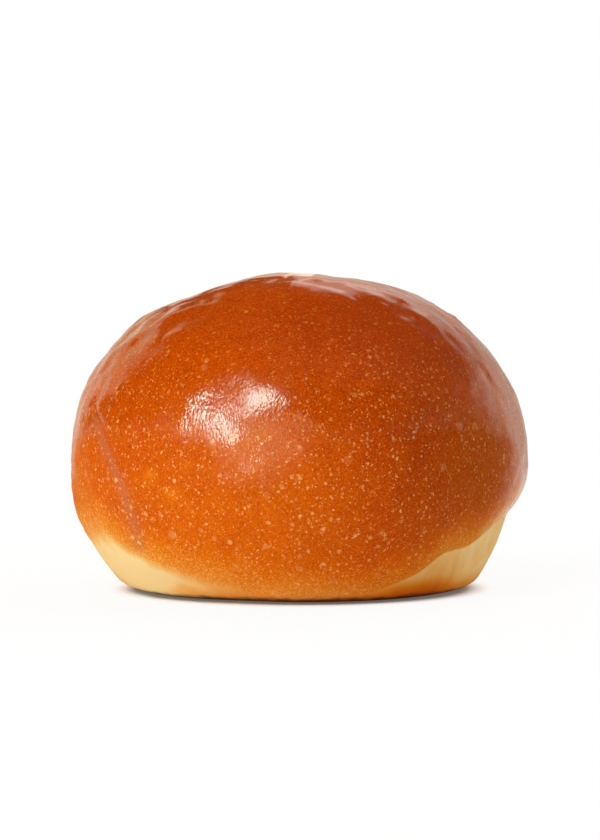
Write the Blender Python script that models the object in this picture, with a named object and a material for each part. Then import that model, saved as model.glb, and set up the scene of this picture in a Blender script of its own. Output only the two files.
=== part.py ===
"""A glazed burger bun: one solid of baked dough, resting on its flat base.

The dome of browned crust and the narrower pale foot under it are two rounded shapes about one point,
the middle of the waist. The skin is the outer of the two along every direction from that point, cut off
by the flat base, with soft joins, and with shallow lumps and folds added along the same direction.

The origin is on the base, under the middle of the bun. +Z is up, -Y is the front, and +X is the side
where the crust hangs over the foot. Lengths are in metres. Azimuths go round from +X towards +Y and
elevations up from the waist, both in degrees.
"""

import bmesh
import bpy
import numpy as np

# Driving sizes: a nominal four inch bun
HALF_WIDTH = 0.0507  # of the dome, at the waist
WAIST_HEIGHT = 0.0281  # height of the widest girth, and of the point that shapes are measured from
RISE = 0.0418  # from the waist to the top
DOME_POWER = 2.12  # 2 is an ellipse, and more is squarer in the shoulders
PLAIN_DROP = 0.0424  # how deep the dome's own underside would reach below the waist
FOOT_REACH = 0.0471  # from the middle of the waist to the pale foot's skin
FOOT_CAP = 0.018  # the foot's own height above the waist, hidden in the dome
CREASE_SOFTNESS = 0.0007  # how softly the overhanging crust meets the foot
RIM_SOFTNESS = 0.0051  # how softly the foot turns into the flat base
LEVEL_WITHIN = 1e-6  # points this near the base's plane lie on it
LEAST_SINE, MOST_SINE = 0.05, 0.95  # limits that keep the divisions by a sine sound

# The lower edge of the browned crust: on the base at the front, high at the sides
EDGE_LOW_AZIMUTH = -86.0
EDGE_LOW_HEIGHT = 0.0003
EDGE_RIGHT_HEIGHT, EDGE_RIGHT_CURVE = 0.0175, 1.7
EDGE_LEFT_HEIGHT, EDGE_LEFT_CURVE = 0.0145, 1.95
EDGE_BACK_HEIGHT = 0.0105
# Where that edge wavers: azimuth, spread and height
EDGE_WAVES = (
    (-169.0, 9.0, -0.0034),
    (-149.0, 5.0, 0.0016),
    (-113.0, 4.0, 0.0007),
    (-46.0, 6.0, 0.0017),
    (-22.0, 9.0, 0.0008),
    (44.0, 12.0, -0.0022),
    (81.0, 8.0, 0.0013),
    (118.0, 11.0, -0.0016),
    (148.0, 8.0, 0.0012),
)

# The side where the crust hangs over the foot, as azimuth and half the stretch
OVERHANG_AZIMUTH = 8.0
OVERHANG_HALF_STRETCH = 118.0

# Rises and hollows of the skin: azimuth, elevation, spread in degrees, and height
LUMPS = (
    (180.0, 62.0, 10.0, -0.00104),  # flat left shoulder
    (180.0, 42.0, 10.0, 0.00051),  # under the left shoulder
    (176.0, 78.0, 8.0, 0.00032),  # left of the crown
    (4.0, 74.0, 8.0, -0.00083),  # right of the crown
    (0.0, 56.0, 9.0, 0.00030),  # right shoulder
    (4.0, 28.0, 9.0, -0.00028),  # under the right shoulder
    (-8.0, -10.0, 8.0, 0.00023),  # right flank, over the overhang
    (180.0, 20.0, 10.0, 0.00062),  # left flank
    (-172.0, -12.0, 8.0, 0.00058),  # cheek left of the fold
    (-60.0, -38.0, 14.0, 0.00036),  # front right of the base
    (-112.0, -40.0, 14.0, -0.00110),  # front left of the base
    (-128.0, 30.0, 12.0, 0.00035),  # front left, above the gloss
    (-58.0, 24.0, 15.0, 0.00030),  # front right
    (-93.0, 2.0, 14.0, -0.00025),  # shallow hollow at the front
    (62.0, 38.0, 16.0, -0.00080),  # hollow at the back right
    (101.0, 12.0, 15.0, 0.00060),  # fullness at the back
    (138.0, 44.0, 13.0, 0.00050),  # back left shoulder
    (34.0, 2.0, 13.0, 0.00050),  # right side, towards the back
    (90.0, 70.0, 12.0, -0.00060),  # flat behind the crown
)

# Folds of the skin: azimuth at the waist, its slope and bend with elevation,
# the lowest and highest elevation, the depth, and the width left and right of the line
FOLDS = (
    (-138.6, -0.72, -0.0263, -27.0, 19.0, 0.00055, 0.0030, 0.0016),
    (71.0, 0.34, -0.0080, -27.0, 10.0, 0.00040, 0.0026, 0.0018),
)
FOLD_FADE = 9.0  # how gently a fold runs out at its ends

# The net of points: rows as spans of elevation, denser where the crust overhangs
POINTS_ROUND = 104
ROW_SPANS = ((-50.0, -39.0, 4), (-39.0, -8.0, 20), (-8.0, 60.0, 22), (60.0, 90.0, 9))

# Colour and roughness of each finish
CRUST_FINISH = (0.58, 0.14, 0.018, 1.0), 0.30
FOOT_FINISH = (0.86, 0.58, 0.28, 1.0), 0.60
BASE_FINISH = (0.42, 0.19, 0.055, 1.0), 0.70
BASE_FACES_DOWN = -0.9  # a face whose normal points lower than this belongs to the toasted base


def smooth_step(share):
    """0 to 1 with a level start and end."""
    share = np.clip(share, 0.0, 1.0)
    return share * share * (3.0 - 2.0 * share)


def smooth_max(first, second, softness):
    """The larger of two distances, rounded where they are within softness of each other."""
    share = np.clip(0.5 + 0.5 * (first - second) / softness, 0.0, 1.0)
    return second + (first - second) * share + softness * share * (1.0 - share)


def smooth_min(first, second, softness):
    """The smaller of two distances, rounded likewise."""
    return -smooth_max(-first, -second, softness)


def egg(cosine, sine, half_width, half_height, power):
    """Distance from the middle of a superellipse to its edge, along a direction."""
    return ((np.abs(cosine) / half_width) ** power + (np.abs(sine) / half_height) ** power) ** (-1.0 / power)


def turn_between(azimuth, other):
    """Signed turn from other to azimuth, within half a turn."""
    return (azimuth - other + 180.0) % 360.0 - 180.0


def crust_edge_height(azimuth):
    """Height of the browned crust's lower edge: a power of the sine of the turn from its low place."""
    turn = np.radians(turn_between(azimuth, EDGE_LOW_AZIMUTH))
    side = np.where(turn > 0.0, EDGE_RIGHT_HEIGHT, EDGE_LEFT_HEIGHT)
    curve = np.where(turn > 0.0, EDGE_RIGHT_CURVE, EDGE_LEFT_CURVE)
    ends = np.where(np.cos(turn) > 0.0, EDGE_LOW_HEIGHT, EDGE_BACK_HEIGHT)
    height = ends + (side - ends) * np.abs(np.sin(turn)) ** curve
    for wave_azimuth, spread, rise in EDGE_WAVES:
        height = height + rise * np.exp(-((turn_between(azimuth, wave_azimuth) / spread) ** 2))
    return height


def dome_drop(azimuth):
    """Depth of the dome's own underside.

    Where the crust overhangs, it is the depth that makes dome and foot meet at the crust's edge.
    """
    sine = np.clip((WAIST_HEIGHT - crust_edge_height(azimuth)) / FOOT_REACH, LEAST_SINE, MOST_SINE)
    meeting = (1.0 / HALF_WIDTH**2 + (1.0 / FOOT_REACH**2 - 1.0 / HALF_WIDTH**2) / sine**2) ** -0.5
    away = np.abs(turn_between(azimuth, OVERHANG_AZIMUTH)) / OVERHANG_HALF_STRETCH
    overhang = smooth_step(2.0 * (1.0 - away))
    return PLAIN_DROP + (meeting - PLAIN_DROP) * overhang


def lump_height(azimuth, elevation):
    """Sum of the rises and hollows: each a bell curve of the angle from its middle."""
    east, up = np.radians(azimuth), np.radians(elevation)
    total = np.zeros_like(east)
    for lump_azimuth, lump_elevation, spread, height in LUMPS:
        lump_east, lump_up = np.radians(lump_azimuth), np.radians(lump_elevation)
        cosine = np.sin(up) * np.sin(lump_up) + np.cos(up) * np.cos(lump_up) * np.cos(east - lump_east)
        angle = np.degrees(np.arccos(np.clip(cosine, -1.0, 1.0)))
        total += height * np.exp(-((angle / spread) ** 2))
    return total


def fold_depth(azimuth, elevation):
    """Sum of the folds: each a valley along a line whose azimuth is a quadratic of the elevation."""
    total = np.zeros_like(azimuth)
    for start, slope, bend, low, high, depth, left_width, right_width in FOLDS:
        line = start + slope * elevation + bend * elevation**2
        across = np.radians(turn_between(azimuth, line)) * HALF_WIDTH * np.cos(np.radians(elevation))
        width = np.where(across < 0.0, left_width, right_width)
        ends = smooth_step((elevation - low) / FOLD_FADE) * smooth_step((high - elevation) / FOLD_FADE)
        total += depth * ends * np.exp(-((across / width) ** 2))
    return total


def skin_distance(azimuth, elevation):
    """Distance from the middle of the waist to the skin: dome and foot, cut off by the flat base."""
    cosine, sine = np.cos(np.radians(elevation)), np.sin(np.radians(elevation))
    above = egg(cosine, sine, HALF_WIDTH, RISE, DOME_POWER)
    below = egg(cosine, sine, HALF_WIDTH, dome_drop(azimuth), 2.0)
    dome = np.where(sine > 0.0, above, below)
    foot = egg(cosine, sine, FOOT_REACH, np.where(sine > 0.0, FOOT_CAP, FOOT_REACH), 2.0)
    body = smooth_max(dome, foot, CREASE_SOFTNESS)
    body = body + lump_height(azimuth, elevation) - fold_depth(azimuth, elevation)
    base = np.where(sine < -LEAST_SINE, WAIST_HEIGHT / np.maximum(-sine, LEAST_SINE), 2.0 * FOOT_REACH)
    return smooth_min(body, base, RIM_SOFTNESS)


def skin_points(azimuth, elevation):
    """Points of the skin, with the base exactly level."""
    distance = skin_distance(azimuth, elevation)
    cosine = np.cos(np.radians(elevation))
    x = distance * cosine * np.cos(np.radians(azimuth))
    y = distance * cosine * np.sin(np.radians(azimuth))
    z = WAIST_HEIGHT + distance * np.sin(np.radians(elevation))
    return np.stack([x, y, np.where(z < LEVEL_WITHIN, 0.0, z)], axis=-1)


def row_elevations():
    """Elevations of the rows of points, from the edge of the base's flat up to just under the crown."""
    rows = [np.linspace(low, high, count, endpoint=False) for low, high, count in ROW_SPANS]
    return np.concatenate(rows)


def bun_mesh():
    """A closed net centred over the origin: one level face as base, rows of quads, and a fan at the crown."""
    azimuths = np.linspace(-180.0, 180.0, POINTS_ROUND, endpoint=False)
    grid_azimuth, grid_elevation = np.meshgrid(azimuths, row_elevations())
    rows = skin_points(grid_azimuth, grid_elevation)
    crown = skin_points(np.zeros(1), np.array([90.0]))[0]
    reach = rows.reshape(-1, 3)
    middle = (reach.min(axis=0) + reach.max(axis=0)) / 2.0 * (1.0, 1.0, 0.0)
    rows, crown = rows - middle, crown - middle
    shape = bmesh.new()
    rings = [[shape.verts.new(point) for point in row] for row in rows]
    for lower, upper in zip(rings, rings[1:]):
        for i, vertex in enumerate(lower):
            after = (i + 1) % POINTS_ROUND
            shape.faces.new((vertex, lower[after], upper[after], upper[i]))
    top = shape.verts.new(crown)
    for i, vertex in enumerate(rings[-1]):
        shape.faces.new((vertex, rings[-1][(i + 1) % POINTS_ROUND], top))
    shape.faces.new(reversed(rings[0]))
    mesh = bpy.data.meshes.new("bun")
    shape.to_mesh(mesh)
    shape.free()
    return mesh


def baked_material(name, finish):
    """A Principled material in one colour."""
    colour, roughness = finish
    material = bpy.data.materials.new(name)
    material.use_nodes = True
    shader = material.node_tree.nodes["Principled BSDF"]
    shader.inputs["Base Color"].default_value = colour
    shader.inputs["Roughness"].default_value = roughness
    shader.inputs["Metallic"].default_value = 0.0
    return material


def colour_faces(mesh):
    """Crust, pale foot and toasted base, by where each face's middle lies."""
    for face in mesh.polygons:
        x, y, z = face.center
        azimuth = np.degrees(np.arctan2(y, x))
        if face.normal.z < BASE_FACES_DOWN:
            face.material_index = 2
        elif z < crust_edge_height(azimuth):
            face.material_index = 1


def main():
    for old in list(bpy.data.objects):
        bpy.data.objects.remove(old)
    mesh = bun_mesh()
    mesh.materials.append(baked_material("glazed_crust", CRUST_FINISH))
    mesh.materials.append(baked_material("pale_foot", FOOT_FINISH))
    mesh.materials.append(baked_material("toasted_base", BASE_FINISH))
    colour_faces(mesh)
    mesh.shade_smooth()
    bun = bpy.data.objects.new("bun", mesh)
    bpy.context.scene.collection.objects.link(bun)


main()
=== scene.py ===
# %% [markdown]
# A glazed burger bun
#
# This script dresses one burger bun. The bun's true shape already exists as a solid, the frame, and the
# script never changes its size. It makes a much finer skin over that solid, with the crust's small lumps
# and blisters, and then the baked colours, the egg glaze, the light and the camera.
#
# The frame comes first, because everything else is placed by it. The box round the solid is kept, and its
# size is printed.

import bpy
import numpy as np
from mathutils import Matrix, Vector


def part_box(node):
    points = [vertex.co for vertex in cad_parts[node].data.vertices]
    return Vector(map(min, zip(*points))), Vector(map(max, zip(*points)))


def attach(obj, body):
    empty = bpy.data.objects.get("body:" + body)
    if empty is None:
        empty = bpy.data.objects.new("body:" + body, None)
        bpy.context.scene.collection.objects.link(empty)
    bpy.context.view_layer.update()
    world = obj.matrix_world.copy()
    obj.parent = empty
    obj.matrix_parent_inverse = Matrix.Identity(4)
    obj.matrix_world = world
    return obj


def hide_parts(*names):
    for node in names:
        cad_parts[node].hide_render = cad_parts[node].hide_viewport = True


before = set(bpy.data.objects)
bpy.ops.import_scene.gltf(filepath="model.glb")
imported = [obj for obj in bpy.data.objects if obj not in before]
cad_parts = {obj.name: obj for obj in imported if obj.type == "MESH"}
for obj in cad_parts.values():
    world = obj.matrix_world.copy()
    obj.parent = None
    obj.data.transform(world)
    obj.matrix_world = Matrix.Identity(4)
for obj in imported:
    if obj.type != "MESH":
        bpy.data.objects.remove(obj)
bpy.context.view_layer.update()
BUN_LOW, BUN_HIGH = (np.array(corner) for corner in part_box("bun"))
print("the bun is", np.round((BUN_HIGH - BUN_LOW) * 1000, 1), "mm")

# %% [markdown]
# The form of the bun
#
# A ball of dough that bakes on a tray spreads, rises and browns. The browned dome sets first and becomes a
# shell. The pale foot under it goes on rising, and on one side the dome ends up hanging over the foot.
#
# Seen from the middle of its waist, the bun is star shaped: every direction meets the skin once. So the
# skin is one number, a distance, for each azimuth and elevation. A superellipse gives the dome, a circle
# gives the foot, the larger of the two is the body, and the smaller of that and the flat base is the bun.
# The sizes and formulas are those that made the solid, but for a slightly sharper crease under the crust.

# %% Sizes of the bun, in metres and degrees
HALF_WIDTH = 0.0507  # of the dome, at the waist
WAIST_HEIGHT = 0.0281  # height of the widest girth, and of the point that distances are measured from
RISE = 0.0418  # from the waist to the top
DOME_POWER = 2.12  # 2 is an ellipse, and more is squarer in the shoulders
PLAIN_DROP = 0.0424  # how deep the dome's own underside would reach below the waist
FOOT_REACH = 0.0471  # from the middle of the waist to the pale foot's skin
FOOT_CAP = 0.018  # the foot's own height above the waist, hidden in the dome
CREASE_SOFTNESS = 0.0006  # how softly the overhanging crust meets the foot
RIM_SOFTNESS = 0.0051  # how softly the foot turns into the flat base
LEAST_SINE, MOST_SINE = 0.05, 0.95  # limits that keep the divisions by a sine sound

# The lower edge of the browned crust: on the base at the front, high at the sides
EDGE_LOW_AZIMUTH = -86.0
EDGE_LOW_HEIGHT = 0.0003
EDGE_RIGHT_HEIGHT, EDGE_RIGHT_CURVE = 0.0175, 1.7
EDGE_LEFT_HEIGHT, EDGE_LEFT_CURVE = 0.0145, 1.95
EDGE_BACK_HEIGHT = 0.0105
EDGE_WAVES = (
    # azimuth, spread and rise
    (-169.0, 9.0, -0.0034),
    (-149.0, 5.0, 0.0016),
    (-113.0, 4.0, 0.0007),
    (-46.0, 6.0, 0.0017),
    (-22.0, 9.0, 0.0008),
    (44.0, 12.0, -0.0022),
    (81.0, 8.0, 0.0013),
    (118.0, 11.0, -0.0016),
    (148.0, 8.0, 0.0012),
)
# The side where the crust hangs over the foot, as azimuth and half the stretch
OVERHANG_AZIMUTH = 8.0
OVERHANG_HALF_STRETCH = 118.0

LUMPS = (
    # azimuth, elevation, spread and height
    (180.0, 62.0, 10.0, -0.00104),
    (180.0, 42.0, 10.0, 0.00051),
    (176.0, 78.0, 8.0, 0.00032),
    (4.0, 74.0, 8.0, -0.00083),
    (0.0, 56.0, 9.0, 0.00030),
    (4.0, 28.0, 9.0, -0.00028),
    (-8.0, -10.0, 8.0, 0.00023),
    (180.0, 20.0, 10.0, 0.00062),
    (-172.0, -12.0, 8.0, 0.00058),
    (-60.0, -38.0, 14.0, 0.00036),
    (-112.0, -40.0, 14.0, -0.00110),
    (-128.0, 30.0, 12.0, 0.00035),
    (-58.0, 24.0, 15.0, 0.00030),
    (-93.0, 2.0, 14.0, -0.00025),
    (62.0, 38.0, 16.0, -0.00080),
    (101.0, 12.0, 15.0, 0.00060),
    (138.0, 44.0, 13.0, 0.00050),
    (34.0, 2.0, 13.0, 0.00050),
    (90.0, 70.0, 12.0, -0.00060),
)
FOLDS = (
    # start, slope and bend of the line, its lowest and highest elevation, depth, width to the left and right
    (-138.6, -0.72, -0.0263, -27.0, 19.0, 0.00055, 0.0030, 0.0016),
    (71.0, 0.34, -0.0080, -27.0, 10.0, 0.00040, 0.0026, 0.0018),
)
FOLD_FADE = 9.0  # how gently a fold runs out at its ends
print("the form has", len(EDGE_WAVES), "waves on its edge,", len(LUMPS), "lumps and", len(FOLDS), "folds")

# %% Small helpers for whole arrays


def smooth_step(share):
    """3 s^2 - 2 s^3 of a share kept between 0 and 1."""
    share = np.clip(share, 0.0, 1.0)
    return share * share * (3.0 - 2.0 * share)


def between(value, low, high):
    """0 below low, 1 above high, and a smooth step from one to the other."""
    return smooth_step((value - low) / (high - low))


def smooth_max(first, second, softness):
    """The larger of two distances, plus a quarter of softness where they are equal."""
    share = np.clip(0.5 + 0.5 * (first - second) / softness, 0.0, 1.0)
    return second + (first - second) * share + softness * share * (1.0 - share)


def smooth_min(first, second, softness):
    """The smaller of two distances, rounded likewise."""
    return -smooth_max(-first, -second, softness)


def turn_between(azimuth, other):
    """Signed turn from other to azimuth, within half a turn."""
    return (azimuth - other + 180.0) % 360.0 - 180.0


def egg(cosine, sine, half_width, half_height, power):
    """Edge of a superellipse: (|cos / width|^p + |sin / height|^p)^(-1/p)."""
    return ((np.abs(cosine) / half_width) ** power + (np.abs(sine) / half_height) ** power) ** (-1.0 / power)


def bells(azimuth, elevation, spots):
    """Sum of height * exp(-(angle / spread)^2) over spots, the angle counted from each spot's middle."""
    east, up = np.radians(azimuth), np.radians(elevation)
    total = np.zeros_like(east)
    for spot_azimuth, spot_elevation, spread, height in spots:
        spot_east, spot_up = np.radians(spot_azimuth), np.radians(spot_elevation)
        cosine = np.sin(up) * np.sin(spot_up) + np.cos(up) * np.cos(spot_up) * np.cos(east - spot_east)
        total += height * np.exp(-((np.degrees(np.arccos(np.clip(cosine, -1.0, 1.0))) / spread) ** 2))
    return total


# %% The skin as a distance from the middle of the waist


def crust_edge_height(azimuth):
    """Lower edge of the browned crust: ends + (side - ends) * |sin(turn)|^curve, and a few waves."""
    turn = np.radians(turn_between(azimuth, EDGE_LOW_AZIMUTH))
    side = np.where(turn > 0.0, EDGE_RIGHT_HEIGHT, EDGE_LEFT_HEIGHT)
    curve = np.where(turn > 0.0, EDGE_RIGHT_CURVE, EDGE_LEFT_CURVE)
    ends = np.where(np.cos(turn) > 0.0, EDGE_LOW_HEIGHT, EDGE_BACK_HEIGHT)
    height = ends + (side - ends) * np.abs(np.sin(turn)) ** curve
    for wave_azimuth, spread, rise in EDGE_WAVES:
        height = height + rise * np.exp(-((turn_between(azimuth, wave_azimuth) / spread) ** 2))
    return height


def dome_drop(azimuth):
    """Depth of the dome's own underside. Where the crust overhangs, it meets the foot at the crust's edge.

    The overhang is full over the inner half of its stretch and fades to none at the ends.
    """
    sine = np.clip((WAIST_HEIGHT - crust_edge_height(azimuth)) / FOOT_REACH, LEAST_SINE, MOST_SINE)
    meeting = (1.0 / HALF_WIDTH**2 + (1.0 / FOOT_REACH**2 - 1.0 / HALF_WIDTH**2) / sine**2) ** -0.5
    away = np.abs(turn_between(azimuth, OVERHANG_AZIMUTH)) / OVERHANG_HALF_STRETCH
    return PLAIN_DROP + (meeting - PLAIN_DROP) * smooth_step(2.0 * (1.0 - away))


def fold_depth(azimuth, elevation):
    """Valleys along lines whose azimuth is start + slope * elevation + bend * elevation^2."""
    total = np.zeros_like(azimuth)
    for start, slope, bend, low, high, depth, left_width, right_width in FOLDS:
        line = start + slope * elevation + bend * elevation**2
        across = np.radians(turn_between(azimuth, line)) * HALF_WIDTH * np.cos(np.radians(elevation))
        width = np.where(across < 0.0, left_width, right_width)
        ends = smooth_step((elevation - low) / FOLD_FADE) * smooth_step((high - elevation) / FOLD_FADE)
        total += depth * ends * np.exp(-((across / width) ** 2))
    return total


def body_distance(azimuth, elevation):
    """Dome and foot, with lumps and folds, before the base cuts them off."""
    cosine, sine = np.cos(np.radians(elevation)), np.sin(np.radians(elevation))
    above = egg(cosine, sine, HALF_WIDTH, RISE, DOME_POWER)
    below = egg(cosine, sine, HALF_WIDTH, dome_drop(azimuth), 2.0)
    dome = np.where(sine > 0.0, above, below)
    foot = egg(cosine, sine, FOOT_REACH, np.where(sine > 0.0, FOOT_CAP, FOOT_REACH), 2.0)
    body = smooth_max(dome, foot, CREASE_SOFTNESS)
    return body + bells(azimuth, elevation, LUMPS) - fold_depth(azimuth, elevation)


def cut_by_base(body, elevation):
    """The smaller of the body's distance and that of the level plane under the waist."""
    sine = np.sin(np.radians(elevation))
    base = np.where(sine < -LEAST_SINE, WAIST_HEIGHT / np.maximum(-sine, LEAST_SINE), 2.0 * FOOT_REACH)
    return smooth_min(body, base, RIM_SOFTNESS)


# %% [markdown]
# The fine relief
#
# A glazed crust looks smooth from a step away, yet its reflections are ragged. The dough under the glaze
# is never even: it has low ripples a few millimetres across, flat blisters where gas came up, and tiny
# pits. They could all be bump in the material, but then the outline and the exported mesh would be smooth.
# So everything from about 2 mm up is real relief here, and only the grain is left to bump.
#
# Ripples are a sum of sine waves in random directions through space, which looks the same from all sides
# and has no seam. Blisters and pits are small bell curves, each laid only on the part of the grid near it.

# %% Ripples
RIPPLE_SEED = 11
RIPPLE_WAVES = 90
RIPPLE_LONGEST, RIPPLE_SHORTEST = 0.016, 0.0030
RIPPLE_STEEPNESS = 0.0100  # height over wavelength; the sum is scaled back to one wave's height


def ripples(points):
    """Sum of a * sin(2 pi (d . p) / length + phase) for random unit vectors d, with a in step with length."""
    draw = np.random.default_rng(RIPPLE_SEED)
    heading = draw.normal(size=(RIPPLE_WAVES, 3))
    heading /= np.linalg.norm(heading, axis=1, keepdims=True)
    length = RIPPLE_LONGEST * (RIPPLE_SHORTEST / RIPPLE_LONGEST) ** draw.uniform(size=RIPPLE_WAVES)
    phase = draw.uniform(0.0, 2.0 * np.pi, RIPPLE_WAVES)
    total = np.zeros(points.shape[:-1])
    for d, wavelength, start in zip(heading, length, phase):
        total += RIPPLE_STEEPNESS * wavelength * np.sin(2.0 * np.pi * (points @ d) / wavelength + start)
    return total / np.sqrt(RIPPLE_WAVES / 2.0)


# %% Blisters, pits and the hollows under the gloss
BLISTER_SEED = 23
BLISTER_KINDS = (
    # how many, least and most radius, least and most height, flatness of the top
    (170, 0.0009, 0.0019, 0.00005, 0.00013, 4.0),
    (120, 0.0011, 0.0026, -0.00011, -0.00004, 2.0),
    (24, 0.0030, 0.0052, -0.00022, -0.00008, 2.0),
)
BLISTER_LOWEST = -28.0  # elevation
BLISTER_REACH = 2.2  # in radii, how far round a blister the grid is changed
LEAST_COSINE = 0.05  # how narrow a row near the crown is taken to be, at least
# The front's own hollows and rises, which break up its gloss: azimuth, elevation, spread and height
GLOSS_RELIEF = (
    (-98.8, 11.6, 1.1, -0.00003),
    (-98.0, 12.9, 0.7, 0.00003),
    (-89.0, 15.0, 5.0, 0.00009),
)


def scattered_spots():
    """Blisters and pits as (azimuth, elevation, radius, height, flatness), even over the crust's area."""
    draw = np.random.default_rng(BLISTER_SEED)
    spots = []
    for count, least, most, low, high, flatness in BLISTER_KINDS:
        azimuth = draw.uniform(-180.0, 180.0, count)
        sine = draw.uniform(np.sin(np.radians(BLISTER_LOWEST)), 1.0, count)
        radius = least * (most / least) ** draw.uniform(size=count)
        height = draw.uniform(low, high, count)
        spots += zip(azimuth, np.degrees(np.arcsin(sine)), radius, height, [flatness] * count)
    return spots


def stamp_spots(azimuths, elevations, spots):
    """Sum of height * exp(-(distance / radius)^flatness), laid only on the grid near each spot."""
    total = np.zeros((len(elevations), len(azimuths)))
    for azimuth, elevation, radius, height, flatness in spots:
        reach = np.degrees(BLISTER_REACH * radius / HALF_WIDTH)
        rows = np.flatnonzero(np.abs(elevations - elevation) < reach)
        narrow = max(np.cos(np.radians(elevation)), LEAST_COSINE)
        columns = np.flatnonzero(np.abs(turn_between(azimuths, azimuth)) < reach / narrow)
        if not len(rows) or not len(columns):
            continue
        along = np.radians(turn_between(azimuths[columns], azimuth)) * narrow * HALF_WIDTH
        up = np.radians(elevations[rows] - elevation) * HALF_WIDTH
        distance = np.hypot(along[None, :], up[:, None])
        total[np.ix_(rows, columns)] += height * np.exp(-((distance / radius) ** flatness))
    return total


# %% [markdown]
# The finished skin
#
# The skin is a grid: columns go round the bun and rows go up it, from near the base's middle to the crown.
# Rows are closest together where the shape turns fastest, at the base's rim and the crust's lower edge.
# Each pole is one vertex with a fan of triangles, so the mesh is closed and its faces point outwards.
#
# Seven facts about each vertex are stored with the mesh, because the look follows the dough and not a
# straight height: how far the point is above the crust's edge, how deeply the oven browned it, how toasted
# the foot is, with painted shade and light, how dull the colour is, with painted shade, where the fold and
# its painted sheen run, how wrinkled the glaze is and how much there is.

# %% The grid of rows and columns
COLUMNS = 452
ROW_SPANS = (
    # lowest and highest elevation, and how many rows
    (-89.0, -50.0, 16),
    (-50.0, -38.0, 20),
    (-38.0, -8.0, 66),
    (-8.0, 60.0, 90),
    (60.0, 89.6, 26),
)
column_azimuths = np.linspace(-180.0, 180.0, COLUMNS, endpoint=False)
row_elevations = np.concatenate([np.linspace(a, b, n, endpoint=False) for a, b, n in ROW_SPANS])
grid_azimuth, grid_elevation = np.meshgrid(column_azimuths, row_elevations)
print("the skin has", len(row_elevations), "rows of", COLUMNS, "points")


def place(azimuth, elevation, distance):
    """Points at a distance from the middle of the waist, over the middle of the solid's footprint."""
    cosine = np.cos(np.radians(elevation))
    x = distance * cosine * np.cos(np.radians(azimuth))
    y = distance * cosine * np.sin(np.radians(azimuth))
    z = WAIST_HEIGHT + distance * np.sin(np.radians(elevation))
    return np.stack([x, y, z], axis=-1)


def footprint_middle(azimuth, elevation):
    """Middle of the plain form's box, which the solid has over its origin."""
    plain = place(azimuth, elevation, cut_by_base(body_distance(azimuth, elevation), elevation))
    reach = plain.reshape(-1, 3)
    return (reach.min(axis=0) + reach.max(axis=0)) / 2.0 * (1.0, 1.0, 0.0)


# %% Relief, least on the foot and none on the flat base
RELIEF_ON_FOOT = 0.45
CRUST_STARTS, CRUST_FULL = -0.0010, 0.0012  # metres above its edge
RIPPLE_SPOTS = (
    # azimuth, elevation, spread and change of the relief
    (-98.0, 16.5, 9.5, -0.90),
    (-160.0, 36.0, 20.0, 0.80),
    (-178.0, 10.0, 16.0, 0.60),
    (-15.0, 45.0, 18.0, 0.80),
)
body = body_distance(grid_azimuth, grid_elevation)
plain_points = place(grid_azimuth, grid_elevation, body)
above_edge = plain_points[..., 2] - crust_edge_height(grid_azimuth)
on_crust = between(above_edge, CRUST_STARTS, CRUST_FULL)
relief = ripples(plain_points) * (RELIEF_ON_FOOT + (1.0 - RELIEF_ON_FOOT) * on_crust)
relief += stamp_spots(column_azimuths, row_elevations, scattered_spots()) * on_crust
relief *= 1.0 + bells(grid_azimuth, grid_elevation, RIPPLE_SPOTS)
relief += bells(grid_azimuth, grid_elevation, GLOSS_RELIEF)
distance = cut_by_base(body + relief, grid_elevation)
skin_points = place(grid_azimuth, grid_elevation, distance)
skin_points[..., 2] = np.maximum(skin_points[..., 2], 0.0)
skin_points -= footprint_middle(grid_azimuth, grid_elevation)
print("relief from", round(relief.min() * 1e3, 2), "to", round(relief.max() * 1e3, 2), "mm")

# %% [markdown]
# What the oven and the brush did, place by place
#
# A bun isn't one brown. The crown browns most, the foot rises late and stays pale, and the brush leaves more
# egg on one side than on another. An image could hold all that, but it would have a seam and a fixed
# sharpness. Instead each of these facts is worked out for every point of the grid: a plain rule with height,
# and a few wide bell curves where the bun differs from it.
# The foot's toasting holds painted shade and light, the dull tint painted shade, and the folds a painted
# sheen.

# %% How deeply each part is browned, from 0 to 1
CROWN_BAKE, WAIST_BAKE, HEM_BAKE = 0.86, 0.66, 0.36
HEM_LOW, HEM_HIGH = -0.001, 0.011  # metres above the crust's edge
CROWN_STARTS, CROWN_FULL = -22.0, 50.0  # elevation
BAKE_SPOTS = (
    # azimuth, elevation, spread and change of the browning
    (-62.0, 46.0, 24.0, 0.13),
    (-90.0, 40.0, 15.0, 0.05),
    (-88.0, 17.0, 8.0, 0.06),
    (-35.0, -14.0, 16.0, 0.06),
    (-166.0, -7.0, 18.0, -0.13),
    (-90.0, 78.0, 22.0, -0.07),
    (-63.0, 7.0, 14.0, 0.13),
    (-45.0, 30.0, 16.0, 0.08),
    (-140.0, 14.0, 26.0, 0.02),
    (-62.0, -14.0, 20.0, 0.08),
    (-78.0, -24.0, 9.0, 0.04),
    (-114.0, -12.0, 22.0, -0.045),
    (-66.0, 4.5, 3.5, -0.06),
    (-127.8, -0.9, 1.9, -0.14),
    (-121.8, -5.5, 2.2, -0.13),
    (-117.0, 2.0, 1.3, -0.12),
    (-150.0, 48.0, 18.0, 0.05),
    (-86.0, -34.0, 14.0, -0.08),
    (-60.0, -31.0, 12.0, 0.07),
    (-40.0, -25.0, 11.0, -0.02),
    (-20.0, -14.0, 10.0, -0.09),
    (-4.0, -13.0, 8.0, -0.10),
    (20.0, 20.0, 30.0, 0.05),
    (70.0, 30.0, 22.0, 0.08),
    (120.0, 8.0, 24.0, -0.07),
    (150.0, 44.0, 20.0, 0.05),
)


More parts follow.
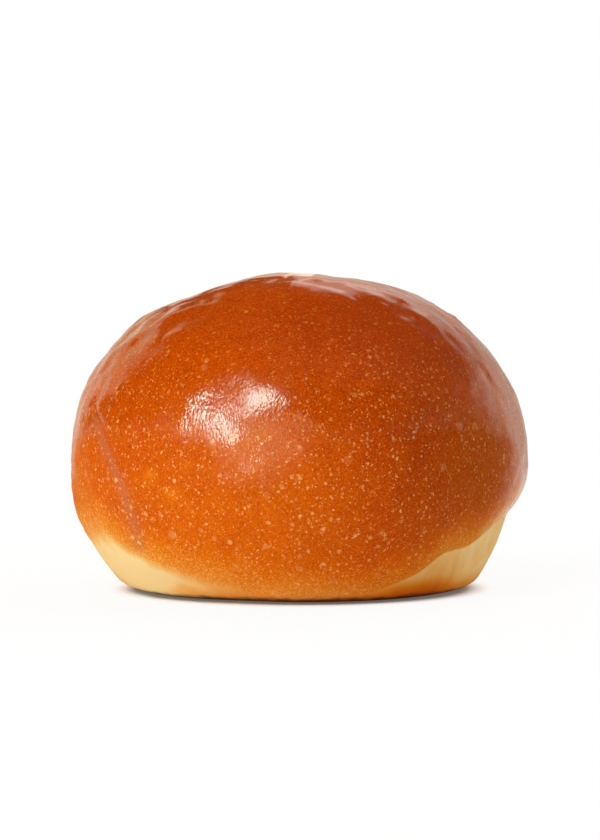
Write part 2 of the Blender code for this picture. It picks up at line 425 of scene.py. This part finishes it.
def baked(azimuth, elevation, above):
    """Darker towards the crown, lighter near the crust's edge, with a few wide blotches."""
    hem = HEM_BAKE + (WAIST_BAKE - HEM_BAKE) * between(above, HEM_LOW, HEM_HIGH)
    climb = (CROWN_BAKE - WAIST_BAKE) * between(elevation, CROWN_STARTS, CROWN_FULL)
    return np.clip(hem + climb + bells(azimuth, elevation, BAKE_SPOTS), 0.0, 1.0)


bake_level = baked(grid_azimuth, grid_elevation, above_edge)
print("browned from", round(float(bake_level.min()), 2), "to", round(float(bake_level.max()), 2))

# %% How toasted the foot is near the hot tray, with painted shade at the right front and painted light at the left
FOOT_TOAST_AND_SHADE_SPOTS = (
    # azimuth, elevation, spread and change of the foot's browning, painted shade and painted light
    (-50.0, -40.0, 13.0, 0.36),
    (-80.0, -36.0, 10.0, 0.08),
    (-146.0, -44.0, 16.0, -0.55),
    (100.0, -38.0, 16.0, 0.15),
)
foot_toast_and_shade_level = bells(grid_azimuth, grid_elevation, FOOT_TOAST_AND_SHADE_SPOTS)
print("the foot is toasted from", round(float(foot_toast_and_shade_level.min()), 2), "to", round(float(foot_toast_and_shade_level.max()), 2))

# %% How dull and brown the colour is, with painted shade: most on the shaded shoulder
DULL_AND_SHADE_SPOTS = (
    # azimuth, elevation, spread and dullness, which also sets the painted shade
    (-42.0, 0.0, 26.0, 1.0),
    (20.0, 0.0, 40.0, 0.35),
    (-30.0, 34.0, 16.0, 0.3),
)
dull_and_shade_level = np.clip(bells(grid_azimuth, grid_elevation, DULL_AND_SHADE_SPOTS), 0.0, 1.0)
print("dull over", round(float((dull_and_shade_level > 0.5).mean()) * 100), "percent of the grid")

# %% Where the folds' painted sheen runs, from 0 beside them to 1 in the deepest
FOLD_SHEEN_SHIFT = 2.0  # degrees by which the painted sheen lies to the left of the valley
deepest = max(depth for *_, depth, left_width, right_width in FOLDS)
fold_sheen_level = fold_depth(grid_azimuth + FOLD_SHEEN_SHIFT, grid_elevation) / deepest
print("the deepest fold is", round(deepest * 1e3, 2), "mm deep")

# %% How wrinkled the glaze is: least on the crown, most beside the gloss and under it
PLAIN_WRINKLE, CROWN_WRINKLE = 0.36, 0.06
CALM_STARTS, CALM_FULL = 22.0, 48.0  # elevation
LEAST_WRINKLE, MOST_WRINKLE = 0.05, 2.0
WRINKLE_SPOTS = (
    # azimuth, elevation, spread and change of the wrinkling
    (-98.0, 18.0, 6.0, -0.06),
    (-114.0, 14.0, 8.0, 0.60),
    (-98.0, 4.0, 9.0, 0.35),
    (-160.0, 20.0, 24.0, -0.20),
)
calm = between(grid_elevation, CALM_STARTS, CALM_FULL)
wrinkle_level = PLAIN_WRINKLE + (CROWN_WRINKLE - PLAIN_WRINKLE) * calm
wrinkle_level += bells(grid_azimuth, grid_elevation, WRINKLE_SPOTS)
wrinkle_level = np.clip(wrinkle_level, LEAST_WRINKLE, MOST_WRINKLE)
print("wrinkled from", round(float(wrinkle_level.min()), 2), "to", round(float(wrinkle_level.max()), 2))

# %% How much glaze there is: all of it on the upper dome, and tongues of it lower down
GLAZE_STARTS, GLAZE_FULL = 0.0, 20.0  # elevation
GLAZE_SPOTS = (
    # azimuth, elevation, spread and change of the glaze
    (-99.5, 17.5, 6.0, -0.40),
    (-38.0, 18.0, 14.0, -0.40),
    (-170.0, 2.0, 12.0, 0.60),
    (-100.0, 5.0, 13.0, 0.65),
    (-8.0, -2.0, 28.0, 0.95),
    (150.0, -6.0, 14.0, 0.50),
    (60.0, -2.0, 18.0, 0.55),
    (100.0, 6.0, 12.0, -0.40),
)
glaze_level = between(grid_elevation, GLAZE_STARTS, GLAZE_FULL)
glaze_level += bells(grid_azimuth, grid_elevation, GLAZE_SPOTS)
glaze_level = np.clip(glaze_level, 0.0, 1.0)
print("glazed over", round(float((glaze_level > 0.5).mean()) * 100), "percent of the grid")

# %% Vertices, faces and stored facts of the skin


def closed_grid(name, rows, low_pole, high_pole):
    """A mesh of quads between rows of points that go round, with a fan to one vertex at either end."""
    row_count, column_count = rows.shape[:2]
    points = np.concatenate([rows.reshape(-1, 3), [low_pole, high_pole]])
    here = np.arange(row_count * column_count).reshape(row_count, column_count)
    after = np.roll(here, -1, axis=1)
    quads = np.stack([here[:-1], after[:-1], after[1:], here[1:]], axis=-1).reshape(-1, 4)
    low, high = len(points) - 2, len(points) - 1
    under = np.stack([np.full(column_count, low), after[0], here[0]], axis=-1)
    over = np.stack([here[-1], after[-1], np.full(column_count, high)], axis=-1)
    corners = np.concatenate([quads.ravel(), under.ravel(), over.ravel()])
    sizes = np.concatenate([np.full(len(quads), 4), np.full(2 * column_count, 3)])
    mesh = bpy.data.meshes.new(name)
    mesh.vertices.add(len(points))
    mesh.vertices.foreach_set("co", points.astype(np.float32).ravel())
    mesh.loops.add(len(corners))
    mesh.loops.foreach_set("vertex_index", corners.astype(np.int32))
    mesh.polygons.add(len(sizes))
    mesh.polygons.foreach_set("loop_start", (np.cumsum(sizes) - sizes).astype(np.int32))
    mesh.polygons.foreach_set("loop_total", sizes.astype(np.int32))
    mesh.update(calc_edges=True)
    mesh.validate()
    mesh.shade_smooth()
    return mesh


def store(mesh, name, rows, low_value, high_value):
    """Keeps one number for each vertex, which a material can read by name."""
    values = np.concatenate([rows.ravel(), [low_value, high_value]]).astype(np.float32)
    mesh.attributes.new(name, "FLOAT", "POINT").data.foreach_set("value", values)


base_middle = np.array([0.0, 0.0, 0.0])
top_row = skin_points[-1]
crown = np.array([top_row[:, 0].mean(), top_row[:, 1].mean(), top_row[:, 2].max()])
skin = closed_grid("bun_skin", skin_points, base_middle, crown)
# The last two values of each are those of the base's middle and of the crown. Heights are in millimetres.
store(skin, "above_edge", above_edge * 1000.0, -10.0, 50.0)
store(skin, "bake", bake_level, HEM_BAKE, bake_level[-1].mean())
store(skin, "wrinkle", wrinkle_level, 0.5, wrinkle_level[-1].mean())
store(skin, "glaze", glaze_level, 0.0, 1.0)
store(skin, "dull_and_shade", dull_and_shade_level, 0.0, 0.0)
store(skin, "foot", foot_toast_and_shade_level, 0.0, 0.0)
store(skin, "fold", fold_sheen_level, 0.0, 0.0)
bun_skin = bpy.data.objects.new("bun_skin", skin)
bpy.context.scene.collection.objects.link(bun_skin)
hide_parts("bun")
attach(bun_skin, "root")
print("bun_skin has", sum(len(f.vertices) - 2 for f in skin.polygons), "triangles")

# %% [markdown]
# Baked colours and egg glaze
#
# One number says how brown a place is, and one ramp turns it into a colour: cream, gold, orange and at last
# a deep red-brown. Dough that rose after the crust had set is near 0. The step up to the crust is sharp
# where the crust hangs over the foot, and a soft golden band where the two stayed joined.
#
# The gloss is a second material over the same colours. Egg glaze is smooth and bright on the upper dome and
# thin or missing lower down, so a ragged mask mixes a glazed surface with a bare one.

# %% Shader sums written as sums


class Wire:
    """An output socket of a shader tree. Arithmetic on it adds Math nodes, and add() any other node."""

    def __init__(self, tree, socket=None):
        self.tree = tree
        self.socket = socket

    def add(self, kind, inputs=None, output=0, stops=None, **settings):
        """A node with its settings made first, then its ramp, and then its sockets set or linked."""
        node = self.tree.nodes.new(kind)
        for name, value in settings.items():
            setattr(node, name, value)
        if stops:
            ramp = node.color_ramp
            while len(ramp.elements) < len(stops):
                ramp.elements.new(0.5)
            for element, (position, colour) in zip(ramp.elements, stops):
                element.position = position
                element.color = (*colour, 1.0)
        for name, value in (inputs or {}).items():
            if isinstance(value, Wire):
                self.tree.links.new(value.socket, node.inputs[name])
            else:
                node.inputs[name].default_value = value
        return None if output is None else Wire(self.tree, node.outputs[output])

    def math(self, operation, *values):
        """A Math node on this socket and the values after it."""
        return self.add("ShaderNodeMath", dict(enumerate((self, *values))), operation=operation)

    def __add__(self, other):
        return self.math("ADD", other)

    def __mul__(self, other):
        return self.math("MULTIPLY", other)

    def __sub__(self, other):
        return self.math("SUBTRACT", other)

    def __neg__(self):
        return self * -1.0

    def __rsub__(self, other):
        return -self + other

    __radd__ = __add__
    __rmul__ = __mul__

    def step(self, low, high):
        """0 below low, 1 above high and a smooth step between. Either end may be a socket."""
        ends = {"Value": self, "From Min": low, "From Max": high}
        return self.add("ShaderNodeMapRange", ends, interpolation_type="SMOOTHSTEP")

    def mix(self, first, second, blend="MIX"):
        """The first colour where this is 0 and the second where it is 1."""
        ends = {0: self, 6: first, 7: second}
        return self.add("ShaderNodeMix", ends, output=2, data_type="RGBA", blend_type=blend)

    def mix_shader(self, first, second):
        """The first shader where this is 0 and the second where it is 1."""
        return self.add("ShaderNodeMixShader", {0: self, 1: first, 2: second})


def new_material(name):
    """An empty material, and the first wire of its tree."""
    material = bpy.data.materials.new(name)
    material.use_nodes = True
    material.node_tree.nodes.clear()
    return material, Wire(material.node_tree)


# %% Colours of dough from pale to dark, as linear light
BAKED_COLOURS = (
    (0.00, (0.990, 0.760, 0.380)),
    (0.14, (0.945, 0.570, 0.185)),
    (0.30, (0.890, 0.370, 0.055)),
    (0.44, (0.840, 0.235, 0.007)),
    (0.58, (0.755, 0.148, 0.000)),
    (0.74, (0.650, 0.093, 0.000)),
    (0.88, (0.520, 0.060, 0.000)),
    (1.00, (0.400, 0.040, 0.000)),
)
BLISTER_COLOUR = (0.88, 0.42, 0.15, 1.0)
LOW_FLECK_COLOUR = (0.95, 0.50, 0.16, 1.0)
HIGH_FLECK_COLOUR = (0.90, 0.34, 0.03, 1.0)
# Greyish, for the painted sheen along the folds
FOLD_SHEEN_COLOUR = (0.50, 0.22, 0.13, 1.0)
# Multiplied in where the light is weak: painted shade, over a duller brown
PAINTED_SHADE_TINT = (0.70, 0.84, 1.00, 1.0)
# Near black, for the painted contact shadow along the base
CONTACT_SHADOW_COLOUR = (0.070, 0.012, 0.001, 1.0)

bread, start = new_material("baked_bread")


def fact(name):
    """One of the numbers that the mesh stores for each vertex."""
    return start.add("ShaderNodeAttribute", output="Fac", attribute_name=name)


point = start.add("ShaderNodeTexCoord", output="Object")
x = start.add("ShaderNodeSeparateXYZ", {0: point}, output="X")
height = start.add("ShaderNodeSeparateXYZ", {0: point}, output="Z")
above, bake, foot, dull_and_shade = fact("above_edge"), fact("bake"), fact("foot"), fact("dull_and_shade")
fold, wrinkle, glaze = fact("fold"), fact("wrinkle"), fact("glaze")


def noise(scale, detail, roughness, vector=point, output="Fac"):
    """Noise about one half, by feature count per metre."""
    inputs = {"Vector": vector, "Scale": scale, "Detail": detail, "Roughness": roughness}
    return start.add("ShaderNodeTexNoise", inputs, output=output)


SPOT_LEAST_STRENGTH = 0.3
SPOT_CORE = 0.7  # the share of a spot's radius that has its full strength


def spots(vector, scale, least, most):
    """Small blobs, few of them large, with radii from least to most of their spacing. 0 between them.

    Each cell draws two numbers. The fourth power of one gives the radius, and the other the strength.
    """
    near = start.add("ShaderNodeTexVoronoi", {"Vector": vector, "Scale": scale}, output="Distance")
    draws = Wire(near.tree, near.socket.node.outputs["Color"])
    chance = start.add("ShaderNodeSeparateColor", {0: draws}, output="Red")
    strength = start.add("ShaderNodeSeparateColor", {0: draws}, output="Green")
    strength = strength * (1.0 - SPOT_LEAST_STRENGTH) + SPOT_LEAST_STRENGTH
    chance = chance * chance
    radius = chance * chance * (most - least) + least
    return (1.0 - near.step(radius * SPOT_CORE, radius)) * strength


# %% Where the crust ends: a ragged line, soft at the left and sharp where the crust hangs over
EDGE_NOISE = (310.0, 3.0, 0.62)  # features per metre, detail and roughness, as in the noises below
EDGE_RAGGEDNESS = 1.3  # as a multiple of the softness
JOINED_X, FREE_X = -0.012, 0.017  # the crust is joined left of the first, and free right of the second
JOINED_SOFTNESS, FREE_SOFTNESS = 1.9, 0.35  # millimetres
softness = start.add(
    "ShaderNodeMapRange",
    {
        "Value": x,
        "From Min": JOINED_X,
        "From Max": FREE_X,
        "To Min": JOINED_SOFTNESS,
        "To Max": FREE_SOFTNESS,
    },
)
ragged = (noise(*EDGE_NOISE) - 0.5) * EDGE_RAGGEDNESS * softness
crust = (above + ragged).step(-softness, softness)

# %% How brown each place is, and its colour
STREAK_NOISE, STREAK_STRENGTH, STREAK_SQUEEZE = (420.0, 3.0, 0.6), 0.16, (1.0, 1.0, 0.22)
FOOT_NOISE, FOOT_STRENGTH = (110.0, 2.0, 0.5), 0.22
FOOT_BROWN, TRAY_BROWN = 0.07, 0.30
TRAY_NEAR, TRAY_FAR = 0.0006, 0.0060  # heights between which the tray's browning fades
GRAIN_NOISE, GRAIN_STRENGTH = (2500.0, 1.0, 0.6), 0.65
CRUST_NOISE, CRUST_STRENGTH = (260.0, 3.0, 0.6), 0.18
FOLD_SHEEN_STRENGTH = 0.36
streaks = start.add("ShaderNodeMapping", {"Vector": point, "Scale": STREAK_SQUEEZE})
# The foot's browning carries painted shade on its shaded right front and painted light on its lit left
foot_brown_and_shade = (
    foot
    + FOOT_BROWN
    + (noise(*STREAK_NOISE, streaks) - 0.5) * STREAK_STRENGTH
    + (noise(*FOOT_NOISE) - 0.5) * FOOT_STRENGTH
    + (1.0 - height.step(TRAY_NEAR, TRAY_FAR)) * TRAY_BROWN
)
grain = (noise(*GRAIN_NOISE) - 0.5) * GRAIN_STRENGTH
crust_brown = bake + (noise(*CRUST_NOISE) - 0.5) * CRUST_STRENGTH - grain
browned_and_shaded = foot_brown_and_shade + (crust_brown - foot_brown_and_shade) * crust
colour = start.add("ShaderNodeValToRGB", {"Fac": browned_and_shaded}, stops=BAKED_COLOURS)
# Painted sheen: a greyish streak along each fold, where its flank mirrors the pale walls
colour = (fold * fold * crust * FOLD_SHEEN_STRENGTH).mix(colour, FOLD_SHEEN_COLOUR)
print("the colours run through", len(BAKED_COLOURS), "stops from dough to dark crust")

# %% [markdown]
# Flecks
#
# Close up, a glazed crust is full of pale flecks: tiny gas bubbles that broke under the egg. They are larger
# and paler low down, where the dough stretched late. The cells of a Voronoi pattern scatter them evenly, and
# a fine noise pushes every point about, so that their outlines are angular and not round.

# %% Where flecks are strong, and the noise that bends their outlines
LOWER_DOME_FULL, LOWER_DOME_ENDS = 0.034, 0.064  # heights
NUDGE_NOISE, NUDGE = (1900.0, 1.0, 0.5), 0.0009
lower = 1.0 - height.step(LOWER_DOME_FULL, LOWER_DOME_ENDS)
nudge = noise(*NUDGE_NOISE, output="Color")
nudge = start.add("ShaderNodeVectorMath", {0: nudge, 1: (0.5, 0.5, 0.5)}, operation="SUBTRACT")
nudge = start.add("ShaderNodeVectorMath", {0: nudge, 3: NUDGE}, operation="SCALE")
nudged = start.add("ShaderNodeVectorMath", {0: point, 1: nudge}, operation="ADD")
fleck_colour = lower.mix(HIGH_FLECK_COLOUR, LOW_FLECK_COLOUR)

# %% Dust, flecks and blisters: cells per metre, and least and most radius in cells
DUST = (1150.0, 0.23, 0.46)
FLECKS_PER_METRE, FLECK_LEAST, FLECK_MOST = 620.0, 0.11, 0.42
FLECK_SHRINK = 0.20  # how much smaller the largest are where the crust is dull
BLISTERS = (300.0, 0.01, 0.36)
DUST_FADE, FLECK_FADE, BLISTER_FADE = 0.3, 0.5, 0.4  # where the crust is dull
# Strength at the crown, and how much more there is on the lower dome
DUST_SHOWS, FLECKS_SHOW, BLISTERS_SHOW = (0.28, 0.48), (0.28, 0.44), (0.08, 0.30)


def showing(layer, at_crown, more_below):
    """How strongly a layer of spots shows on the crust."""
    return layer * crust * (lower * more_below + at_crown)


dust = spots(nudged, *DUST) * (1.0 - dull_and_shade * DUST_FADE)
colour = showing(dust, *DUST_SHOWS).mix(colour, fleck_colour)
flecks = spots(nudged, FLECKS_PER_METRE, FLECK_LEAST, FLECK_MOST - dull_and_shade * FLECK_SHRINK)
flecks = flecks * (1.0 - dull_and_shade * FLECK_FADE)
colour = showing(flecks, *FLECKS_SHOW).mix(colour, fleck_colour)
blisters = spots(nudged, *BLISTERS) * (1.0 - dull_and_shade * BLISTER_FADE)
colour = showing(blisters, *BLISTERS_SHOW).mix(colour, BLISTER_COLOUR)
print("spots per metre:", DUST[0], FLECKS_PER_METRE, BLISTERS[0])

# %% Painted shade: the dull tint where the light is weak, and a painted contact shadow along the base
PAINTED_SHADE_ON_FOOT, PAINTED_SHADE_WHERE_TOASTED = 0.50, 2.0
CONTACT_SHADOW_NOISE, CONTACT_SHADOW_RAGGED = (300.0, 2.0, 0.5), 0.0012
CONTACT_SHADOW_FULL, CONTACT_SHADOW_ENDS = 0.0006, 0.0018  # heights
CONTACT_SHADOW_STRENGTH = 0.92
# The dull tint darkens the colour where the light is weak: painted shade over a duller crust, also on the
# foot
dulled_and_shaded = dull_and_shade * (crust * (1.0 - PAINTED_SHADE_ON_FOOT) + PAINTED_SHADE_ON_FOOT) + foot * PAINTED_SHADE_WHERE_TOASTED
colour = dulled_and_shaded.mix(colour, PAINTED_SHADE_TINT, "MULTIPLY")
# Painted contact shadow: the lowest millimetre or so of the base turns near black, as the shade under its
# rounded rim
contact_shadow_height = height + (noise(*CONTACT_SHADOW_NOISE) - 0.5) * CONTACT_SHADOW_RAGGED
painted_contact_shadow = 1.0 - contact_shadow_height.step(CONTACT_SHADOW_FULL, CONTACT_SHADOW_ENDS)
colour = (painted_contact_shadow * CONTACT_SHADOW_STRENGTH).mix(colour, CONTACT_SHADOW_COLOUR)

# %% [markdown]
# Egg glaze
#
# The glaze dried as a thin skin. It is mirror smooth where it is thick, finely wrinkled round the gloss, and
# gone in gaps where the brush missed. A clear coat over the whole bun would shine evenly like plastic, so
# the mask decides first, and where there is glaze its thickness sets how rough it is.

# %% Where there is glaze
UPRIGHT_SQUEEZE = (1.0, 1.0, 0.6)  # features are longer upwards
GAP_NOISE = (850.0, 2.0, 0.6)
PATCH_NOISE, PATCH_STRENGTH = (230.0, 3.0, 0.6), 0.55
GLAZE_BEGINS, GLAZE_COVERS = 0.30, 0.80
upright = start.add("ShaderNodeMapping", {"Vector": point, "Scale": UPRIGHT_SQUEEZE})
gaps = (noise(*GAP_NOISE, upright) - 0.5) * wrinkle
glaze_here = glaze + (noise(*PATCH_NOISE) - 0.5) * PATCH_STRENGTH + gaps
glazed_share = glaze_here.step(GLAZE_BEGINS, GLAZE_COVERS) * crust

# %% Wrinkles of the glaze, grain of the bare dough, and how rough the glaze is
WRINKLE_NOISE, FLECK_RELIEF, GLAZE_BUMP = (2000.0, 1.0, 0.50), 0.2, 0.00012
BARE_NOISE, BARE_BUMP = (1900.0, 2.0, 0.6), 0.00009
THIN_ROUGHNESS, THICK_SMOOTHING = 0.34, 0.22
THIN_GLAZE, THICK_GLAZE = 0.35, 0.85
DULL_ROUGHENING, WRINKLE_ROUGHENING = 0.16, 0.03
wrinkles = noise(*WRINKLE_NOISE, upright) * wrinkle + flecks * lower * FLECK_RELIEF
grain_relief = noise(*BARE_NOISE)
glaze_bump = start.add("ShaderNodeBump", {"Strength": 1.0, "Distance": GLAZE_BUMP, "Height": wrinkles})
bare_bump = start.add("ShaderNodeBump", {"Strength": 1.0, "Distance": BARE_BUMP, "Height": grain_relief})
glaze_roughness = THIN_ROUGHNESS - glaze_here.step(THIN_GLAZE, THICK_GLAZE) * THICK_SMOOTHING
glaze_roughness = glaze_roughness + dull_and_shade * DULL_ROUGHENING + wrinkle * WRINKLE_ROUGHENING

# %% The glazed surface over the bare one
GLAZE_SHINE = 0.70  # specular level, of which 0.5 is plain
BARE_ROUGHNESS, BARE_SHINE = 0.62, 0.05
glazed = start.add(
    "ShaderNodeBsdfPrincipled",
    {
        "Base Color": colour,
        "Roughness": glaze_roughness,
        "Specular IOR Level": GLAZE_SHINE,
        "Normal": glaze_bump,
    },
    output="BSDF",
)
bare = start.add(
    "ShaderNodeBsdfPrincipled",
    {
        "Base Color": colour,
        "Roughness": BARE_ROUGHNESS,
        "Specular IOR Level": BARE_SHINE,
        "Normal": bare_bump,
    },
    output="BSDF",
)
start.add("ShaderNodeOutputMaterial", {"Surface": glazed_share.mix_shader(bare, glazed)}, output=None)
skin.materials.append(bread)
print("material", bread.name, "has", len(bread.node_tree.nodes), "nodes")

# %% [markdown]
# Floor, light and camera
#
# The studio is plain: a white floor, soft light from high on the left in front, and pale walls behind the
# bun. The walls matter more than they seem. A glaze reflects little where it is looked at straight on, and
# nearly everything where it is seen edge on, so the pale rims are pictures of those walls.
#
# The lights come in two groups, so that gloss and colour can be set apart from each other. One group is
# only mirrored in the glaze, and the other only lights the dough. A warm crust is near full red already,
# so the panels that make the gloss are blue-green, and their reflections come out near white. Only the
# broad, dim haze under the gloss is amber.

# %% White floor: lit by the lights close to the bun, and plain white to the camera further out
FLOOR_HALF = 0.45
FLOOR_DROP = 0.00005  # keeps the floor just clear of the base
FLOOR_COLOUR, FLOOR_GLOW = (0.92, 0.89, 0.82, 1.0), (1.0, 0.93, 0.80, 1.0)
FLOOR_GLOW_STRENGTH = 0.12
PLAIN_WHITE = (1.0, 1.0, 1.0, 1.0)
# Distances from the bun's middle over which the floor turns white to the camera, and by how much
CONTACT_STARTS, CONTACT_ENDS, CONTACT_SHARE = 0.036, 0.043, 0.90
SHADE_STARTS, SHADE_ENDS, SHADE_SHARE = 0.05, 0.16, 0.10
floor_mesh = bpy.data.meshes.new("floor")
floor_corners = [(-1.0, -1.0, 0.0), (1.0, -1.0, 0.0), (1.0, 1.0, 0.0), (-1.0, 1.0, 0.0)]
floor_mesh.from_pydata(floor_corners, [], [(0, 1, 2, 3)])
floor = bpy.data.objects.new("floor", floor_mesh)
floor.scale = (FLOOR_HALF, FLOOR_HALF, 1.0)
floor.location.z = -FLOOR_DROP
bpy.context.scene.collection.objects.link(floor)

white, surface = new_material("white_floor")
lit = surface.add(
    "ShaderNodeBsdfPrincipled",
    {
        "Base Color": FLOOR_COLOUR,
        "Roughness": 1.0,
        "Specular IOR Level": 0.0,
        "Emission Color": FLOOR_GLOW,
        "Emission Strength": FLOOR_GLOW_STRENGTH,
    },
)
glow = surface.add("ShaderNodeEmission", {"Color": PLAIN_WHITE, "Strength": 1.0})
middle = surface.add("ShaderNodeTexCoord", output="Object")
away = surface.add("ShaderNodeVectorMath", {0: middle}, output="Value", operation="LENGTH") * FLOOR_HALF
past_contact = away.step(CONTACT_STARTS, CONTACT_ENDS) * CONTACT_SHARE
past_shade = away.step(SHADE_STARTS, SHADE_ENDS) * SHADE_SHARE
floor_white = surface.add("ShaderNodeLightPath", output="Is Camera Ray") * (past_contact + past_shade)
surface.add("ShaderNodeOutputMaterial", {"Surface": floor_white.mix_shader(lit, glow)}, output=None)
floor_mesh.materials.append(white)
print("the floor is", 2.0 * FLOOR_HALF, "m wide")

# %% What the lights are aimed at, and their tints
BUN_MIDDLE = (0.0, 0.0, 0.034)
GLOSS_PLACE = (-0.008, -0.048, 0.045)  # where the gloss shows on the front of the crust
WHITE, PALE = (1.0, 1.0, 1.0), (0.92, 0.94, 0.82)
COOL, WARM = (0.66, 1.0, 0.91), (1.0, 0.88, 0.68)
GOLDEN, AMBER = (1.0, 0.84, 0.50), (1.0, 0.80, 0.45)


def panel(name, azimuth, elevation, distance, width, height, radiance, colour=WHITE, aim=BUN_MIDDLE):
    """A flat lit panel that faces its aim. Its power is radiance * pi * width * height."""
    lamp = bpy.data.lights.new(name, "AREA")
    lamp.shape = "RECTANGLE"
    lamp.size, lamp.size_y = width, height
    lamp.color = colour
    lamp.energy = radiance * np.pi * width * height
    east, up = np.radians(azimuth), np.radians(elevation)
    outward = Vector((np.cos(up) * np.cos(east), np.cos(up) * np.sin(east), np.sin(up)))
    lit_panel = bpy.data.objects.new(name, lamp)
    lit_panel.location = Vector(aim) + outward * distance
    lit_panel.rotation_euler = outward.to_track_quat("Z", "Y").to_euler()
    lit_panel.visible_camera = False
    bpy.context.scene.collection.objects.link(lit_panel)
    return lit_panel


# %% Panels that are only mirrored in the glaze
# Azimuth and elevation in degrees, then distance, width and height in metres, and radiance
gloss_panels = [
    panel("key", -116.0, 41.0, 0.90, 0.24, 0.32, 6.0, COOL, GLOSS_PLACE),
    panel("key_core", -112.5, 42.5, 0.88, 0.13, 0.16, 6.0, COOL, GLOSS_PLACE),
    panel("haze", -110.0, 11.0, 0.92, 0.86, 0.60, 1.25, AMBER, GLOSS_PLACE),
    panel("side", -139.5, 27.0, 0.90, 0.125, 0.29, 21.0, COOL, GLOSS_PLACE),
    panel("low_side", -127.0, 15.0, 0.90, 0.19, 0.27, 10.5, COOL, GLOSS_PLACE),
]
walls = [
    panel("left_wall", 125.0, 27.0, 1.30, 0.80, 0.50, 0.62, GOLDEN),
    panel("low_left_wall", 120.0, 5.0, 1.30, 0.66, 0.52, 0.78, WARM),
    panel("top_wall", 97.5, 7.0, 1.30, 0.38, 0.58, 0.70, WARM),
    panel("right_wall", 69.0, 14.0, 1.30, 1.00, 0.94, 0.66, PALE),
    panel("upper_right_wall", 79.0, 35.0, 1.30, 0.50, 0.30, 0.70, PALE),
    panel("low_right_wall", 34.0, 10.5, 1.30, 0.80, 0.64, 0.86, PALE),
]
for lit_panel in gloss_panels:
    lit_panel.data.shape = "ELLIPSE"  # a corner would show in the gloss
for lit_panel in gloss_panels + walls:
    lit_panel.visible_diffuse = False
print(len(gloss_panels), "panels make the gloss, and", len(walls), "make the pale rims")

# %% Wide soft panels that only light the dough
fills = [
    panel("front_fill", -124.0, 38.0, 1.20, 0.70, 0.70, 5.3),
    panel("overhead_fill", 20.0, 74.0, 1.20, 1.60, 1.60, 1.20),
    panel("left_fill", -160.0, 0.0, 1.20, 0.80, 0.60, 2.90),
    panel("right_fill", -12.0, 8.0, 1.20, 1.00, 1.00, 0.62),
    panel("back_fill", 85.0, 30.0, 1.20, 1.40, 1.00, 1.50),
]
for lit_panel in fills:
    lit_panel.visible_glossy = False
print(len(fills), "panels light the dough")

# %% World: a white background, and little light from it
WORLD_LIGHT = (0.030, 0.022, 0.010, 1.0)
world = bpy.data.worlds.new("studio")
world.use_nodes = True
world.node_tree.nodes.clear()
air = Wire(world.node_tree)
seen = air.add("ShaderNodeLightPath", output="Is Camera Ray")
dim = air.add("ShaderNodeBackground", {"Color": WORLD_LIGHT})
bright = air.add("ShaderNodeBackground", {"Color": PLAIN_WHITE})
air.add("ShaderNodeOutputWorld", {"Surface": seen.mix_shader(dim, bright)}, output=None)
bpy.context.scene.world = world

# %% [markdown]
# The camera
#
# The photograph was taken from low down and far away, with a long lens, which keeps the dome's outline
# nearly as it is seen from the side. The camera is turned until one known point of the bun falls on the
# pixel where the photograph has it, and the picture is level but for a fifth of a degree.

# %% Camera, as the photograph was taken
CAMERA_AWAY, CAMERA_UP = 0.6004, 0.05867  # metres from the bun's middle, and over the floor
CAMERA_LENS, CAMERA_SENSOR = 115.7, 36.0
CAMERA_ROLL = -0.203  # degrees
PICTURE = (600, 840)
TARGET_SEEN = (299.87, 434.91)  # pixels from the top left corner to the bun's middle
camera = bpy.data.cameras.new("camera")
camera.lens, camera.sensor_width, camera.sensor_fit = CAMERA_LENS, CAMERA_SENSOR, "AUTO"
camera.clip_start, camera.clip_end = 0.01, 20.0
focal_pixels = max(PICTURE) * CAMERA_LENS / CAMERA_SENSOR
yaw = np.arctan((TARGET_SEEN[0] - PICTURE[0] / 2) / focal_pixels)
fall = np.arctan2(CAMERA_UP - BUN_MIDDLE[2], CAMERA_AWAY)
pitch = fall + np.arctan((PICTURE[1] / 2 - TARGET_SEEN[1]) / focal_pixels)
viewer = bpy.data.objects.new("camera", camera)
turn = Matrix.Rotation(yaw, 4, "Z") @ Matrix.Rotation(np.pi / 2 - pitch, 4, "X")
turn = turn @ Matrix.Rotation(np.radians(CAMERA_ROLL), 4, "Z")
viewer.matrix_world = Matrix.Translation((0.0, -CAMERA_AWAY, CAMERA_UP)) @ turn
bpy.context.scene.collection.objects.link(viewer)
bpy.context.scene.camera = viewer
bpy.context.scene.view_settings.view_transform = "Standard"
print("the camera looks down by", round(float(np.degrees(pitch)), 2), "degrees")
